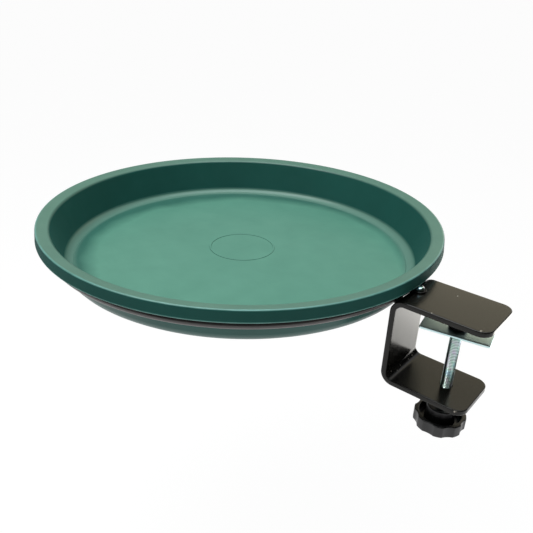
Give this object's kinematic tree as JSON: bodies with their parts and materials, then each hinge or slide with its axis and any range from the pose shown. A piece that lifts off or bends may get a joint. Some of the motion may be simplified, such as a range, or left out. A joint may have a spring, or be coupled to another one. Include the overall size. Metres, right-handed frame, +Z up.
{
  "type": "deck mount bird bath",
  "caption": "Round plastic bird bath basin resting in a steel rod ring, carried from a deck rail by a C-shaped clamp with a knobbed screw and a swivelling pressure plate.",
  "frame": {"origin": "on the upper jaw's underside, the face that rests on the rail, at the clamp screw's axis", "axes": "+Z up along the clamp screw, +X from the basin out along the jaws, so the basin hangs towards -X"},
  "size_m": [0.3902, 0.3316, 0.1119],
  "materials": {
    "basin_plastic": "satin moulded dark green plastic",
    "black_coat": "gloss black powder coat on steel",
    "zinc_plate": "bright blue-white zinc plate on steel",
    "knob_plastic": "satin black moulded plastic"
  },
  "bodies": {
    "mount": {"support_ring": "black_coat", "ring_tongue": "black_coat", "ring_weld": "black_coat", "ring_bolt": "zinc_plate", "ring_pads": "black_coat", "clamp_frame": "black_coat", "jaw_nut": "black_coat", "nut_welds": "black_coat"},
    "bath": {"basin": "basin_plastic"},
    "carrier": {"thrust_washer": "zinc_plate"},
    "screw": {"clamp_screw": "zinc_plate", "knob": "knob_plastic", "retaining_cap": "knob_plastic"},
    "plate": {"pressure_plate": "zinc_plate"}
  },
  "joints": [
    {"name": "basin_lift", "type": "slide", "parent": "mount", "child": "bath", "axis": [0, 0, 1], "range_m": [0, 0.08]},
    {"name": "screw_travel", "type": "slide", "parent": "mount", "child": "carrier", "axis": [0, 0, 1], "range_m": [-0.04375, 0.00594]},
    {"name": "screw_turn", "type": "hinge", "parent": "carrier", "child": "screw", "pos_m": [0, 0, -0.0152], "axis": [0, 0, 1], "range_deg": [-12601, 1711]},
    {"name": "plate_swivel", "type": "hinge", "parent": "carrier", "child": "plate", "pos_m": [0, 0, -0.013], "axis": [0, 0, 1], "continuous": true}
  ],
  "couplings": [
    {"joint": "screw_turn", "follows": "screw_travel", "rad_per_m": 5026.5}
  ]
}
